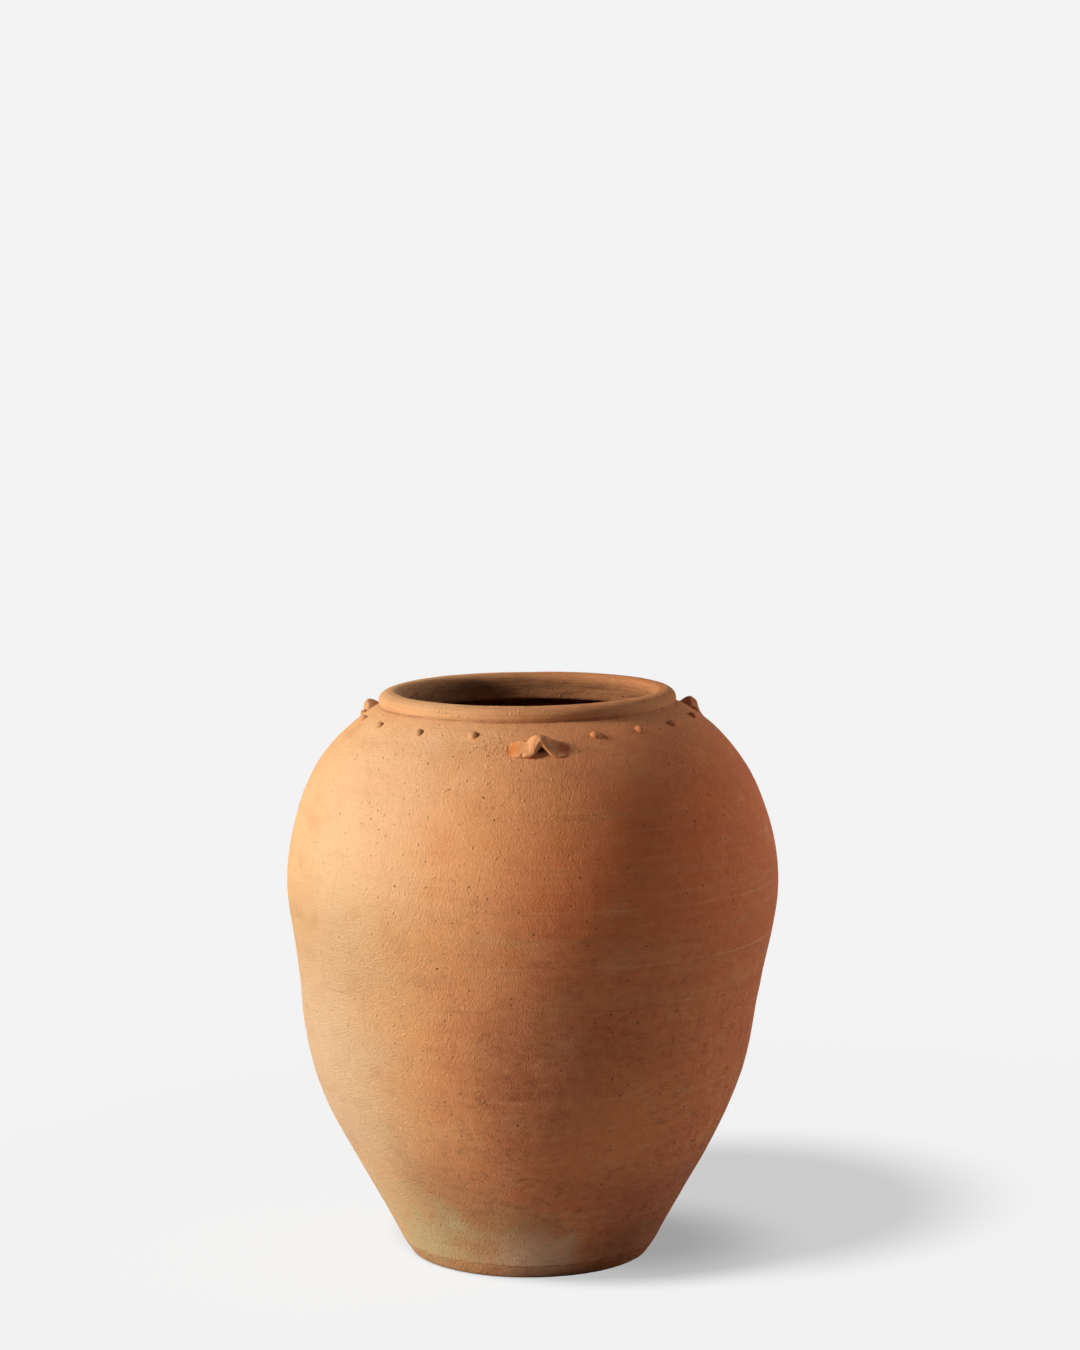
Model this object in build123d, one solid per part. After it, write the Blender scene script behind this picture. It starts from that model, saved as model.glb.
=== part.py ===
from build123d import *
import math
import os

# Terracotta storage jar (pithos), in millimetres and degrees.
# Frame: +Z up, the standing face on Z = 0, the jar's axis on Z, the front towards -Y.
# The jar is built of rings of clay. Each ring has a groove round its top edge, and the ring above is keyed into it.

# Base disc
standing_radius = 125.0  # flat face that the jar stands on
base_radius = 135.5  # outside of the disc at its top
base_thickness = 15.0
base_edge_rounding = 6.0
foot_lean = 26.0  # outward lean of the wall where it leaves the disc, from vertical

# Wall
wall = 16.0  # thickness, square to the surface
key_width = 6.0  # groove in the top of each ring, at its mouth
key_depth = 4.0
luting_coil_leg = 13.0  # coil smoothed into the inside corner of the disc and the wall
luting_coil_clearance = 0.3

# Rings of the wall, from the disc up: height of each, and outside radius at its top edge
course_1_height = 91.0
course_1_radius = 185.0
course_2_height = 100.0
course_2_radius = 229.0
course_3_height = 101.0
course_3_radius = 245.5
course_4_height = 93.0
course_4_radius = 258.5
course_5_height = 70.0
course_5_radius = 247.5
shoulder_height = 55.0
shoulder_radius = 222.5
collar_height = 59.2
neck_radius = 155.8  # outside of the collar where the rim sits on it
neck_lean = 66.5  # inward lean of the collar at the neck, from vertical

# Rolled rim
rim_height = 15.8  # from the neck to the crest
rim_swell = 0.4  # how far the roll stands out past the neck
rim_belly_height = 6.0  # widest line of the roll, above the neck
crest_radius = 143.5
throat_radius = 131.0
lip_depth = 12.0  # inner rounding of the lip, from the crest down to the straight throat
throat_rounding = 6.0  # under the throat, up from the collar's inner edge

# Lugs: straps pinched into a fold, with a small tunnel under it
lug_angles = {"front": 2.5, "right": 114.0, "left": 244.0}
lug_drop = 39.5  # middle of the lug, down the slope from the neck
lug_span = 60.0  # between the two tips
lug_tip_depth = 4.0  # how deep the middle of each tip runs into the wall
lug_tip_width = 25.0
lug_tip_thickness = 8.5
lug_fold_width = 15.0
lug_fold_thickness = 7.5
lug_edge_rounding = 3.2
lug_crest = 13.5  # top of the fold above the wall
lug_rise = 5.0  # how far the fold sits uphill of the tips
lug_steps = 3  # sections from the fold to each tip

# Pellets: balls of clay pressed on in a ring, each at a share of the way from one lug to the next
pellet_shares = {
    "front_right": (0.177, 0.335, 0.49, 0.675, 0.84),
    "back": (0.16, 0.335, 0.495, 0.67, 0.83),
    "front_left": (0.152, 0.304, 0.461, 0.648, 0.822),
}
pellet_drop = 23.5  # middle of the ring, down the slope from the neck
pellet_radius = 5.2
pellet_sink = 0.4  # how far the ball's middle is pressed into the wall


def polar(lean):
    """Direction in the section, leaning outwards from vertical."""
    return Vector(math.sin(math.radians(lean)), 0, math.cos(math.radians(lean)))


# Outside of the wall in section: one curve through the top edge of every ring
courses = [
    ("wall_course_1", course_1_height, course_1_radius),
    ("wall_course_2", course_2_height, course_2_radius),
    ("wall_course_3", course_3_height, course_3_radius),
    ("wall_course_4", course_4_height, course_4_radius),
    ("wall_course_5", course_5_height, course_5_radius),
    ("shoulder_course", shoulder_height, shoulder_radius),
    ("collar_course", collar_height, neck_radius),
]
outer_edges = [Vector(base_radius, 0, base_thickness)]
for _, height, radius in courses:
    outer_edges.append(Vector(radius, 0, outer_edges[-1].Z + height))
outside = Spline(outer_edges, tangents=(polar(foot_lean), polar(-neck_lean)))
neck = outer_edges[-1]
rim_top = neck.Z + rim_height


def across(edge):
    """Direction through the wall at a joint, from the outside in. The disc's joint is level."""
    if edge is outer_edges[0]:
        return Vector(-1, 0, 0)
    along = outside.tangent_at(outside.param_at_point(edge))
    return Vector(-along.Z, 0, along.X)


inner_edges = [edge + across(edge) * wall for edge in outer_edges]
inside = Spline(inner_edges, tangents=(polar(foot_lean), polar(-neck_lean)))


def key_joint(outer_edge, inner_edge):
    """Joint between two rings: a line through the wall with the key's V at its middle, pointing down."""
    inward = (inner_edge - outer_edge).normalized()
    down = Vector(-inward.Z, 0, inward.X)
    middle = (outer_edge + inner_edge) / 2
    return Polyline(
        outer_edge,
        middle - inward * key_width / 2,
        middle + down * key_depth,
        middle + inward * key_width / 2,
        inner_edge,
    )


joints = [key_joint(o, i) for o, i in zip(outer_edges, inner_edges)]


def turned(lines):
    """Solid of revolution about the jar's axis from a closed section."""
    return revolve(make_face(lines), Axis.Z)


def between(curve, low, high):
    """Stretch of a wall curve between two joints."""
    return curve.trim(curve.param_at_point(low), curve.param_at_point(high))


section_plane = Plane.XZ
parts = {}

# Base disc: flat slab with a rounded standing edge and the first key groove
standing_edge = Vector(standing_radius, 0, 0)
disc_section = make_face(
    Polyline(inner_edges[0], (0, 0, base_thickness), (0, 0, 0), standing_edge, outer_edges[0]) + joints[0]
)
disc_corner = disc_section.vertices().sort_by_distance(standing_edge)[0]
parts["base_disc"] = revolve(fillet(disc_corner, base_edge_rounding), Axis.Z)

# Rings of the wall
for number, (name, _, _) in enumerate(courses):
    parts[name] = turned(
        between(outside, outer_edges[number], outer_edges[number + 1])
        + joints[number + 1]
        + between(inside, inner_edges[number], inner_edges[number + 1])
        + joints[number]
    )

# Coil smoothed into the inside corner, hollow like a fillet, a hair off the wall
coil_clear = Vector(luting_coil_clearance, 0, 0)
coil_low = inner_edges[0] - Vector(luting_coil_leg, 0, 0)
coil_corner = inner_edges[0] - coil_clear
coil_high = inside.position_at(luting_coil_leg / inside.length) - coil_clear
parts["base_luting_coil"] = turned(
    Polyline(coil_low, coil_corner, coil_high) + TangentArc(coil_low, coil_high, tangent=(1, 0, 0))
)

# Rolled rim: a bead over the neck and a straight throat band inside it
roll_widest = Vector(neck.X + rim_swell, 0, neck.Z + rim_belly_height)
crest = Vector(crest_radius, 0, rim_top)
throat_top = Vector(throat_radius, 0, rim_top - lip_depth)
throat_bottom = Vector(throat_radius, 0, inner_edges[-1].Z + throat_rounding)
roll_outside = section_plane * EllipticalCenterArc(
    (crest.X, roll_widest.Z), roll_widest.X - crest.X, crest.Z - roll_widest.Z, start_angle=0, arc_size=90
)
roll_inside = section_plane * EllipticalCenterArc(
    (crest.X, throat_top.Z), crest.X - throat_top.X, crest.Z - throat_top.Z, start_angle=90, arc_size=90
)
under_throat = Spline(throat_bottom, inner_edges[-1], tangents=((0, 0, -1), -polar(-neck_lean)))
under_roll = TangentArc(roll_widest, neck, tangent=(0, 0, -1))
parts["rim_roll"] = turned(
    under_roll + roll_outside + roll_inside + Line(throat_top, throat_bottom) + under_throat + joints[-1]
)

# What sits on the shoulder is cut to lie on the collar
collar = parts["collar_course"]


def seat(angle, drop):
    """Plane on the outside of the wall: X along the ring, Y uphill, Z outwards."""
    share = 1 - drop / outside.length
    along = outside.tangent_at(share)
    on_wall = Plane(outside.position_at(share), x_dir=(0, 1, 0), z_dir=(along.Z, 0, -along.X))
    return Rot(Z=angle - 90) * on_wall.location


def strap(place):
    """Lug: rounded sections along a fold that rises out of the wall and goes back into it."""
    lift = lug_crest - lug_fold_thickness / 2 + lug_tip_depth
    half_span = lug_span / 2
    sections = []
    for number in range(-lug_steps, lug_steps + 1):
        step = number / lug_steps
        fold = 1 - abs(step)
        height = lift * math.cos(math.pi / 2 * step) ** 2 - lug_tip_depth
        climb = -lift * math.pi / 2 / half_span * math.sin(math.pi * step)
        station = Plane((step * half_span, lug_rise * fold, height), x_dir=(0, 1, 0), z_dir=(1, 0, climb))
        outline = RectangleRounded(
            lug_tip_width + (lug_fold_width - lug_tip_width) * fold,
            lug_tip_thickness + (lug_fold_thickness - lug_tip_thickness) * fold,
            lug_edge_rounding,
        )
        sections.append(place * station.location * outline)
    return loft(sections)


def ball(place):
    """Pellet: a ball of clay pressed into the wall."""
    return place * Pos(Z=-pellet_sink) * Sphere(pellet_radius)


for name, angle in lug_angles.items():
    parts[f"lug_{name}"] = strap(seat(angle, lug_drop)) - collar

# Each third runs from one lug to the next one round
lug_turns = list(lug_angles.values()) + [lug_angles["front"] + 360]
for turn, (third, shares) in enumerate(pellet_shares.items()):
    for number, share in enumerate(shares, start=1):
        angle = lug_turns[turn] + share * (lug_turns[turn + 1] - lug_turns[turn])
        parts[f"pellet_{third}_{number}"] = ball(seat(angle, pellet_drop)) - collar

os.makedirs("parts", exist_ok=True)
for name, solid in parts.items():
    export_step(solid, f"parts/{name}.step")
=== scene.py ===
import math
import bmesh
import bpy
import numpy as np
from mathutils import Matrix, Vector


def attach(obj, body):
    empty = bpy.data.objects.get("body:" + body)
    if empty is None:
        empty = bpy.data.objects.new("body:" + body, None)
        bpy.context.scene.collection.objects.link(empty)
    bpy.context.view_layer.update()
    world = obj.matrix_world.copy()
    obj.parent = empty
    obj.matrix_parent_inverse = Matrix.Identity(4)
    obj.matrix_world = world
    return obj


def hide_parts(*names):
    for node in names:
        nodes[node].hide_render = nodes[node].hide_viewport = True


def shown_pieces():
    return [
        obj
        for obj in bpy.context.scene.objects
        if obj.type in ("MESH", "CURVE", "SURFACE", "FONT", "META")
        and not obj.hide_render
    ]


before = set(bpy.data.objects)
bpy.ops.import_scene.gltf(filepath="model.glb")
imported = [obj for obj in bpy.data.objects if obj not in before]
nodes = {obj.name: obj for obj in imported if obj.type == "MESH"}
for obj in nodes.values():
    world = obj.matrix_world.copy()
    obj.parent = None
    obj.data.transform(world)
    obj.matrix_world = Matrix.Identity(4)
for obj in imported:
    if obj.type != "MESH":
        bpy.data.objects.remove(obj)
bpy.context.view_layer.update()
mm = 0.001
weld = 1e-6  # metres, points closer than this are one
print("frame:", len(nodes), "nodes")


def shade(red, green, blue):  # screen colour, 0 to 255, as the shaders take it
    def linear(value):
        value /= 255
        return value / 12.92 if value <= 0.04045 else ((value + 0.055) / 1.055) ** 2.4
    return (linear(red), linear(green), linear(blue), 1.0)


class Wire:  # a socket that takes Python's operators
    def __init__(self, graph, socket):
        self.graph = graph
        self.socket = socket

    def join(self, operation, a, b):
        kinds = {w.socket.type if isinstance(w, Wire) else type(w).__name__ for w in (a, b)}
        vector = kinds & {"VECTOR", "RGBA", "tuple"}  # colours and vectors never go through Math
        node = "ShaderNodeVectorMath" if vector else "ShaderNodeMath"
        return self.graph.add(node, {"operation": operation}, {0: a, 1: b})

    def __add__(self, other):
        return self.join("ADD", self, other)

    def __radd__(self, other):
        return self.join("ADD", other, self)

    def __sub__(self, other):
        return self.join("SUBTRACT", self, other)

    def __rsub__(self, other):
        return self.join("SUBTRACT", other, self)

    def __mul__(self, other):
        return self.join("MULTIPLY", self, other)

    def __rmul__(self, other):
        return self.join("MULTIPLY", other, self)

    def __truediv__(self, other):
        return self.join("DIVIDE", self, other)

    def __mod__(self, other):
        return self.join("FLOORED_MODULO", self, other)

    def __pow__(self, other):
        return self.join("POWER", self, other)

    def __abs__(self):
        return self.join("ABSOLUTE", self, 0.0)


class Graph:  # a node tree, filled in one node at a time
    seedWay = (1.0, 0.7, -0.4)  # the way that a seed moves a noise

    def __init__(self, tree):
        self.tree = tree
        tree.nodes.clear()

    def plug(self, value, socket):
        if isinstance(value, Wire):
            self.tree.links.new(value.socket, socket)
        elif hasattr(socket.default_value, "__len__") and isinstance(value, (int, float)):
            socket.default_value = [value] * len(socket.default_value)
        else:
            socket.default_value = value

    def add(self, kind, settings=None, inputs=None, out=0):
        node = self.tree.nodes.new(kind)
        for key, value in (settings or {}).items():
            if key == "points":
                spots = node.mapping.curves[0].points
                while len(spots) < len(value):
                    spots.new(0.5, 0.5)
                for spot, place in zip(spots, value):
                    spot.location = place
                    spot.handle_type = "AUTO_CLAMPED"
                node.mapping.update()
            else:
                setattr(node, key, value)
        for key, value in (inputs or {}).items():
            self.plug(value, node.inputs[key])
        return Wire(self, node.outputs[out]) if len(node.outputs) else node

    def parts(self, vector):
        node = self.add("ShaderNodeSeparateXYZ", None, {0: vector}).socket.node
        return [Wire(self, socket) for socket in node.outputs]

    def vector(self, x, y, z):
        return self.add("ShaderNodeCombineXYZ", None, {0: x, 1: y, 2: z})

    def maths(self, operation, *values):
        return self.add("ShaderNodeMath", {"operation": operation}, dict(enumerate(values)))

    def measure(self, operation, *vectors):  # a number worked out from vectors
        settings = {"operation": operation}
        return self.add("ShaderNodeVectorMath", settings, dict(enumerate(vectors)), out="Value")

    def band(self, value, low, high, start=0.0, end=1.0, ease="SMOOTHSTEP"):  # value from low to high, eased
        settings = {"interpolation_type": ease, "clamp": True}
        return self.add("ShaderNodeMapRange", settings, {0: value, 1: low, 2: high, 3: start, 4: end})

    def noise(self, place, scale, detail=2.0, seed=0.0, rough=0.5):  # runs from 0 to 1 about a half
        moved = place + tuple(seed * share for share in self.seedWay) if seed else place
        inputs = {"Vector": moved, "Scale": scale, "Detail": detail, "Roughness": rough}
        return self.add("ShaderNodeTexNoise", None, inputs)

    def mix(self, share, low, high):  # colours
        return self.add("ShaderNodeMix", {"data_type": "RGBA"}, {0: share, 6: low, 7: high}, out=2)

    def curve(self, value, table):  # value looked up in a table of pairs
        xs, ys = zip(*table)
        low, high = min(ys), max(ys)
        points = [((x - xs[0]) / (xs[-1] - xs[0]), (y - low) / (high - low)) for x, y in table]
        share = self.band(value, xs[0], xs[-1], ease="LINEAR")
        return self.add("ShaderNodeFloatCurve", {"points": points}, {"Value": share}) * (high - low) + low


def newTree(name, sizes):
    tree = bpy.data.node_groups.new(name, "GeometryNodeTree")
    face = tree.interface
    kinds = {int: "NodeSocketInt", float: "NodeSocketFloat", str: "NodeSocketMaterial"}
    face.new_socket("Geometry", in_out="INPUT", socket_type="NodeSocketGeometry")
    for label, value in sizes.items():
        socket = face.new_socket(label, in_out="INPUT", socket_type=kinds[type(value)])
        if not isinstance(value, str):
            socket.default_value = value
    face.new_socket("Geometry", in_out="OUTPUT", socket_type="NodeSocketGeometry")
    graph = Graph(tree)
    entry = tree.nodes.new("NodeGroupInput")
    return graph, {socket.name: Wire(graph, socket) for socket in entry.outputs if socket.name}


def runTree(piece, tree, values):  # the tree's result becomes the piece's own plain mesh
    holder = piece.modifiers.new(tree.name, "NODES")
    holder.node_group = tree
    for item in tree.interface.items_tree:
        if item.in_out == "INPUT" and item.name in values:
            holder[item.identifier] = values[item.name]
    result = piece.evaluated_get(bpy.context.evaluated_depsgraph_get())
    made = bpy.data.meshes.new_from_object(result)
    piece.modifiers.remove(holder)
    piece.data = made
    made.name = piece.name


def newPiece(name, points, edges=(), faces=()):
    mesh = bpy.data.meshes.new(name)
    mesh.from_pydata([tuple(map(float, p)) for p in points], edges, faces)
    piece = bpy.data.objects.new(name, mesh)
    bpy.context.scene.collection.objects.link(piece)
    return piece


def seatPiece(piece, node, sharp):  # faces outwards, creases kept, and what it stands for
    work = bmesh.new()
    work.from_mesh(piece.data)
    bmesh.ops.recalc_face_normals(work, faces=work.faces)
    work.to_mesh(piece.data)
    work.free()
    piece.data.set_sharp_from_angle(angle=math.radians(sharp))
    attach(piece, "root")
    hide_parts(node)


# What the hand leaves in the clay: sizes and heights in mm, patterns per metre
handWork = {
    "wobble": {"size": 1.1, "scale": 4.5, "detail": 1.0, "seed": 3.1},
    "lumps": {"size": 0.42, "scale": 34.0, "detail": 2.0, "seed": 7.7},
    "ridges": {"size": 0.16, "scale": 5.0, "detail": 3.0, "seed": 1.9, "stretch": 26.0},
    "foot": {"size": 0.7, "scale": 75.0, "detail": 2.0, "seed": 5.3},
    "footHeights": (22.0, 12.0),  # where the foot's roughness ends and where it is full
    "breaks": {"size": 0.5, "scale": 9.0, "detail": 2.0, "seed": 4.4, "stretch": 0.2},
    "breakDepths": (-0.2, 0.1, 0.35, 1.0),  # the lines are shallower in the breaks
    "standing": (0.0, 10.0),  # the standing face stays flat
    "rimTilt": 0.8,  # degrees, the right side up
    "rimHeights": (520.0, 585.0),  # where the tilt starts and where it is full
    "drift": [(0, 0.6), (105, 0.5), (165, -0.6), (244, -0.9), (294, 1.2), (409, 3.8), (500, 2.6), (550, 1.4),
              (572, 0.0), (590, -2.0), (602, -2.3)],
    # sine of the wall's outward tilt by height
    "tilt": [(0, -0.44), (60, -0.48), (156, -0.41), (206, -0.28), (256, -0.16), (350, -0.13), (400, 0.0),
             (470, 0.28), (525, 0.59), (555, 0.75), (585, 0.9), (602, 0.9)],
    # height, depth and half width of the lines that the joints and the tools left
    "lines": [(15, 0.7, 1.5), (210, 0.35, 2.4), (306, 0.2, 2.2), (351, 0.25, 2.0), (584.4, 0.7, 0.8),
              (587.3, 1.1, 0.9)],
}


def handShape():
    graph, entry = newTree("handShape", {"wobble": 1.0, "lumps": 1.0})
    place = graph.add("GeometryNodeInputPosition")
    x, _, z = graph.parts(place)
    spec = handWork
    height = z / mm

    def pattern(size, scale, detail, seed, stretch=1.0):  # from minus its size to plus its size
        return (graph.noise(place * (1.0, 1.0, stretch), scale, detail, seed) - 0.5) * (size * 2)

    wobble, lumps, ridges, foot, breaks = [
        pattern(**spec[key]) for key in ("wobble", "lumps", "ridges", "foot", "breaks")]
    amount = wobble * entry["wobble"] + (lumps + ridges) * entry["lumps"]
    amount = amount + foot * graph.band(height, *spec["footHeights"])
    unbroken = graph.band(breaks, *spec["breakDepths"])
    for line, depth, half in spec["lines"]:
        amount = amount - graph.band(abs(height - line), half, 0.0) * unbroken * depth
    radial = graph.add("ShaderNodeVectorMath", {"operation": "NORMALIZE"}, {0: place * (1.0, 1.0, 0.0)})
    up = graph.curve(height, spec["tilt"])
    level = (1.0 - up * up) ** 0.5
    stands = graph.band(height, *spec["standing"])
    moved = radial * (level * amount * mm) + graph.vector(0.0, 0.0, up * amount * stands * mm)
    drift = graph.curve(height, spec["drift"]) * mm
    lean = x * math.tan(math.radians(spec["rimTilt"])) * graph.band(height, *spec["rimHeights"])
    moved = moved + graph.vector(drift, 0.0, lean)
    shaped = graph.add("GeometryNodeSetPosition", None, {"Geometry": entry["Geometry"], "Offset": moved})
    graph.add("NodeGroupOutput", None, {0: shaped})
    return graph.tree


def finishTree(graph, entry, made, hand):  # hand work, smooth shading, real geometry and its clay
    inputs = {"Geometry": made, "wobble": entry["wobble"], "lumps": entry["lumps"]}
    shaped = graph.add("GeometryNodeGroup", {"node_tree": hand}, inputs)
    smooth = graph.add("GeometryNodeSetShadeSmooth", None, {"Geometry": shaped})
    real = graph.add("GeometryNodeRealizeInstances", None, {"Geometry": smooth})
    clay = graph.add("GeometryNodeSetMaterial", None, {"Geometry": real, "Material": entry["clay"]})
    graph.add("NodeGroupOutput", None, {0: clay})
    return graph.tree


def throwRing(hand):  # turns a section, given as points in order, once round the axis
    graph, entry = newTree("throwRing", {"segments": 720, "wobble": 1.0, "lumps": 1.0, "clay": ""})
    section = entry["Geometry"]
    sizeInputs = {"Geometry": section}
    count = graph.add("GeometryNodeAttributeDomainSize", {"component": "MESH"}, sizeInputs, out="Point Count")
    around = entry["segments"]
    sheet = graph.add("GeometryNodeMeshGrid", None, {0: around, 1: count, 2: around + 1.0, 3: count + 1.0})
    x, y, _ = graph.parts(graph.add("GeometryNodeInputPosition"))
    step = graph.maths("ROUND", x + around * 0.5)
    row = graph.maths("ROUND", y + count * 0.5) % count
    inputs = {"Geometry": section, "Value": graph.add("GeometryNodeInputPosition"), "Index": row}
    sample = graph.add("GeometryNodeSampleIndex", {"data_type": "FLOAT_VECTOR"}, inputs)
    radius, _, height = graph.parts(sample)
    angle = step / around * math.tau
    place = graph.vector(radius * graph.maths("COSINE", angle), radius * graph.maths("SINE", angle), height)
    turned = graph.add("GeometryNodeSetPosition", None, {"Geometry": sheet, "Position": place})
    closed = graph.add("GeometryNodeMergeByDistance", None, {"Geometry": turned, "Distance": weld * 5})
    return finishTree(graph, entry, closed, hand)


def sectionOf(name):  # outline of a turned CAD node on its x side, in mm, outer side upwards
    work = bmesh.new()
    work.from_mesh(nodes[name].data)
    bmesh.ops.remove_doubles(work, verts=work.verts, dist=weld)
    bmesh.ops.bisect_plane(work, geom=[*work.verts, *work.edges, *work.faces], dist=weld, plane_no=(0, 1, 0))
    bmesh.ops.remove_doubles(work, verts=work.verts, dist=weld)
    links = {}
    for edge in work.edges:
        a, b = edge.verts
        if all(abs(v.co.y) < weld and v.co.x > -weld for v in (a, b)):
            links.setdefault(a, []).append(b)
            links.setdefault(b, []).append(a)
    ends = [v for v in links if len(links[v]) == 1]
    path = [ends[0] if ends else next(iter(links))]
    seen = set(path)
    while True:
        ahead = [v for v in links[path[-1]] if v not in seen]
        if not ahead:
            break
        path.append(ahead[0])
        seen.add(ahead[0])
    points = np.array([(v.co.x, v.co.z) for v in path]) / mm
    work.free()
    if ends:  # a disc: its outline runs to the axis
        points = np.vstack([(0, points[0][1]), points, (0, points[-1][1])])
    across = np.roll(points, -1, axis=0)
    if np.sum(points[:, 0] * across[:, 1] - across[:, 0] * points[:, 1]) < 0:
        points = points[::-1]
    return points


def stretches(points, corner=40.0):  # an outline cut where it turns by more than the corner's degrees
    ahead = np.roll(points, -1, axis=0) - points
    behind = np.roll(ahead, 1, axis=0)
    cross = behind[:, 0] * ahead[:, 1] - behind[:, 1] * ahead[:, 0]
    turn = np.arctan2(cross, np.sum(ahead * behind, axis=1))
    corners = np.flatnonzero(np.abs(turn) > math.radians(corner))
    loop = np.vstack([points, points])
    stops = [*corners, corners[0] + len(points)]
    return [loop[a:b + 1] for a, b in zip(stops, stops[1:])]


class SmoothLine:  # a smooth line through points, walked by its length
    least = 1e-4  # mm, points closer than this are one

    def __init__(self, points):
        gaps = np.linalg.norm(np.diff(points, axis=0), axis=1)
        points = points[np.r_[True, gaps > self.least]]
        self.at = np.r_[0, np.cumsum(np.linalg.norm(np.diff(points, axis=0), axis=1))]
        self.points = points
        order = 2 if len(points) > 2 else 1
        self.slopes = np.gradient(points, self.at, axis=0, edge_order=order)
        self.length = self.at[-1]

    def walk(self, where):
        where = np.clip(np.atleast_1d(where), 0, self.length)
        spot = np.clip(np.searchsorted(self.at, where) - 1, 0, len(self.at) - 2)
        span = (self.at[spot + 1] - self.at[spot])[:, None]
        t = ((where - self.at[spot])[:, None]) / span
        a, b = self.points[spot], self.points[spot + 1]
        da, db = self.slopes[spot] * span, self.slopes[spot + 1] * span
        start = (2 * t**3 - 3 * t**2 + 1) * a + (t**3 - 2 * t**2 + t) * da
        return start + (3 * t**2 - 2 * t**3) * b + (t**3 - t**2) * db

    def lengthAt(self, point):
        return self.at[np.argmin(np.linalg.norm(self.points - point, axis=1))]


def evenSteps(low, high, step):
    return np.linspace(low, high, max(2, math.ceil(abs(high - low) / step) + 1))


def longGaps(points, most, margin=1.5):  # points added on long straight runs, so that they stay straight
    kept = [points[0]]
    for a, b in zip(points, points[1:]):
        length = np.linalg.norm(b - a)
        if length > most:
            edge = margin / length
            kept += [a + (b - a) * share for share in (edge, 0.25, 0.5, 0.75, 1 - edge)]
        kept.append(b)
    return np.array(kept)


# Rings of the wall, from the foot up
wallRings = {
    "nodes": ["wall_course_1", "wall_course_2", "wall_course_3", "wall_course_4", "wall_course_5",
              "shoulder_course", "collar_course"],
    "outerStep": 1.5, "innerStep": 4.0,  # mm between the rows of the mesh
    "segments": 720,
}
turnedParts = {  # the other turned pieces
    "rim_roll": {"step": 0.55, "segments": 720, "slot": "wall_clay"},
    "base_disc": {"step": 1.2, "segments": 720, "slot": "foot_clay"},
    "base_luting_coil": {"step": 1.5, "segments": 480, "slot": "wall_clay"},
}
jointFlat = 8.0  # mm, a straight side shorter than this is the flat of a joint
longRun = 30.0  # mm, a straight side longer than this gets points between its ends
ringSharp = 40  # degrees


def wallLines():  # outside and inside of the whole wall, and each ring's four sides
    outside, inside, rings = [], [], {}
    for name in wallRings["nodes"]:
        sides = stretches(sectionOf(name))
        outer = max(sides, key=lambda s: s[-1][1] - s[0][1])
        inner = min(sides, key=lambda s: s[-1][1] - s[0][1])
        first = next(i for i, s in enumerate(sides) if s is outer)
        sides = sides[first:] + sides[:first]
        half = next(i for i, s in enumerate(sides) if s is inner)
        over = [s[-1] for s in sides[1:half - 1]]
        under = [s[-1] for s in sides[half + 1:-1]]
        rings[name] = (outer[[0, -1]], over, inner[[0, -1]], under)
        outside.append(outer)
        inside.append(inner[::-1])
    return SmoothLine(np.vstack(outside)), SmoothLine(np.vstack(inside)), rings


outside, inside, rings = wallLines()
print("wall: outside", round(outside.length), "mm, inside", round(inside.length), "mm")
slopeDrops = np.linspace(0, 90, 900)  # mm down from the neck, where the lugs and pellets sit
slope = outside.walk(outside.length - slopeDrops)


def onWall(turn, drop, along, uphill, lift, reach=0.5):  # mm on and off the wall, to places in metres
    middle = outside.walk(outside.length - drop)[0]
    at = outside.length - drop + np.array(uphill)
    spot = outside.walk(at)
    ahead = outside.walk(at + reach) - outside.walk(at - reach)
    ahead /= np.linalg.norm(ahead, axis=1)[:, None]
    radius = spot[:, 0] + ahead[:, 1] * np.array(lift)
    height = spot[:, 1] - ahead[:, 0] * np.array(lift)
    angle = turn + np.array(along) / middle[0]
    return np.c_[radius * np.sin(angle), -radius * np.cos(angle), height] * mm


def seatOf(node):  # turn about the axis and drop below the neck of a piece on the shoulder
    points = np.array([v.co for v in nodes[node].data.vertices]) / mm
    section = np.c_[np.hypot(points[:, 0], points[:, 1]), points[:, 2]]
    gaps = np.linalg.norm(slope[None] - section[:, None], axis=2)
    drops = slopeDrops[np.argmin(gaps, axis=1)]
    first = math.atan2(points[:, 0].mean(), -points[:, 1].mean())
    turns = (np.arctan2(points[:, 0], -points[:, 1]) - first + math.pi) % math.tau - math.pi
    return first + (turns.min() + turns.max()) / 2, (drops.min() + drops.max()) / 2


seats = {name: seatOf(name) for name in nodes if name.startswith(("lug_", "pellet_"))}
print("seats:", len(seats))


# Clay: colours as they look on screen
clayLook = {
    "red": shade(223, 119, 67), "orange": shade(250, 173, 111), "buff": shade(238, 188, 131),
    # the palest tone is partly painted light on the lit left
    "rust": shade(186, 100, 64), "umber": shade(140, 76, 52), "scumAndLight": shade(250, 218, 182),
    "olive": shade(188, 150, 96), "deep": shade(170, 94, 52), "pit": shade(108, 58, 36),
    # soot here also paints shade in the lug's tunnel and inside the mouth
    "sootAndShade": shade(92, 56, 38), "slip": shade(226, 130, 60), "rubbed": shade(190, 92, 58),
    "scratch": shade(146, 62, 28), "pad": shade(232, 176, 124), "stain": shade(214, 186, 134),
    "tan": shade(242, 182, 126), "ochre": shade(206, 146, 92), "dust": shade(240, 172, 118),
    # the throat tone is painted shade inside the mouth
    "ember": shade(240, 142, 86), "mouthShade": shade(122, 82, 48), "moss": shade(112, 78, 42),
}
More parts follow.
